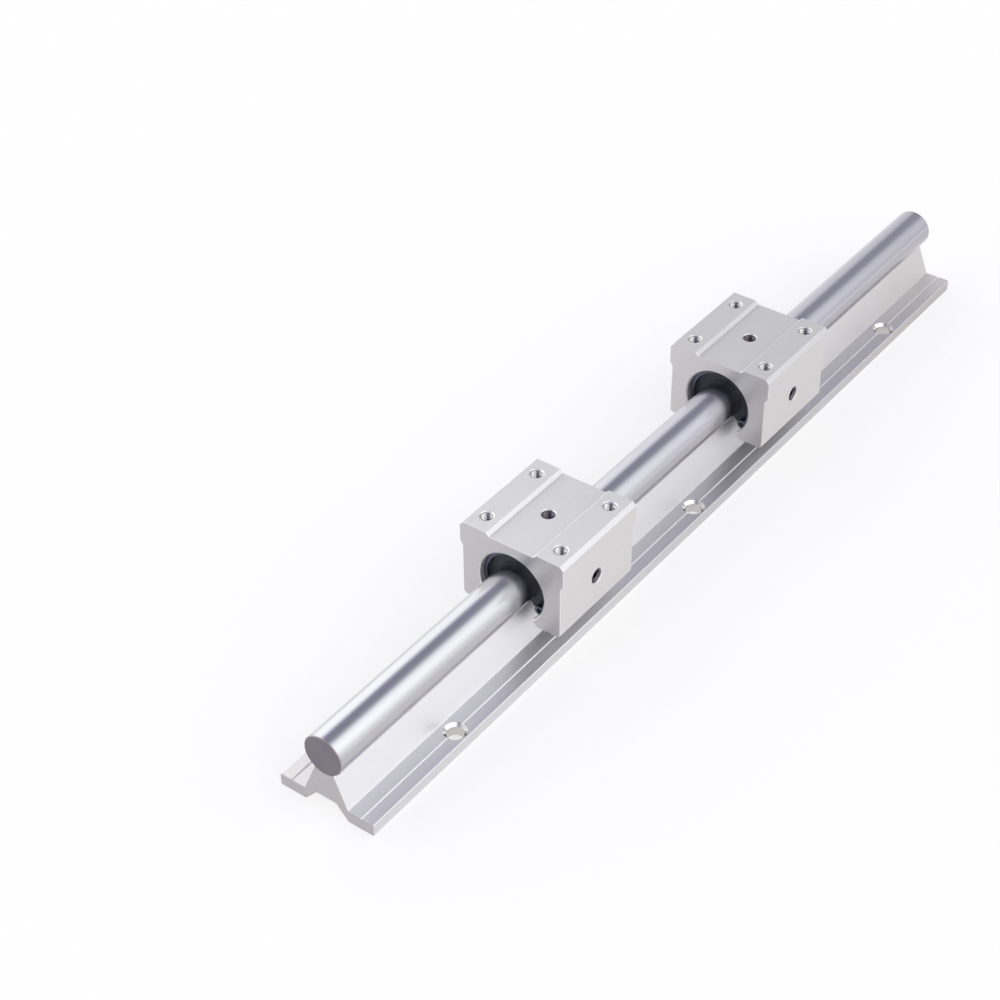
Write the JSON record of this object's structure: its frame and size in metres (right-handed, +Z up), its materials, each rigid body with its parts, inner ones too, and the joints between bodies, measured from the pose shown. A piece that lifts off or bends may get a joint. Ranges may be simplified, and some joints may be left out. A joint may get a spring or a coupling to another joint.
{
  "type": "supported round rail",
  "caption": "Ground steel shaft on an extruded aluminium support rail, carrying open linear bearing blocks that slide along it.",
  "frame": {"origin": "centre of the support's underside, half-way along the rail", "axes": "+X along the rail away from the near block's end, +Y across the rail, +Z up from the mounting surface to the blocks' pads"},
  "size_m": [0.4, 0.045, 0.045],
  "materials": {
    "support_aluminium": "satin extruded",
    "ground_steel": "hardened, ground and polished",
    "screw_steel": "black oxide",
    "block_aluminium": "fine satin, clear anodised",
    "bearing_steel": "ground bearing steel",
    "cage_plastic": "moulded",
    "seal_rubber": "moulded black rubber",
    "ring_steel": "phosphated spring steel"
  },
  "bodies": {
    "rail": {"support_rail": "support_aluminium", "shaft": "ground_steel", "shaft_screw_1": "screw_steel", "shaft_screw_2": "screw_steel", "shaft_screw_3": "screw_steel"},
    "carriage_near": {"bearing_block_near": "block_aluminium", "bearing_sleeve_near": "bearing_steel", "ball_cage_near": "cage_plastic", "end_seal_near_a": "seal_rubber", "end_seal_near_b": "seal_rubber", "snap_ring_near_a": "ring_steel", "snap_ring_near_b": "ring_steel", "set_screw_near": "screw_steel"},
    "carriage_far": {"bearing_block_far": "block_aluminium", "bearing_sleeve_far": "bearing_steel", "ball_cage_far": "cage_plastic", "end_seal_far_a": "seal_rubber", "end_seal_far_b": "seal_rubber", "snap_ring_far_a": "ring_steel", "snap_ring_far_b": "ring_steel", "set_screw_far": "screw_steel"}
  },
  "joints": [
    {"name": "near_slide", "type": "slide", "parent": "rail", "child": "carriage_near", "axis": [1, 0, 0], "range_m": [-0.1025, 0.045]},
    {"name": "far_slide", "type": "slide", "parent": "rail", "child": "carriage_far", "axis": [1, 0, 0], "range_m": [-0.045, 0.1165]}
  ]
}
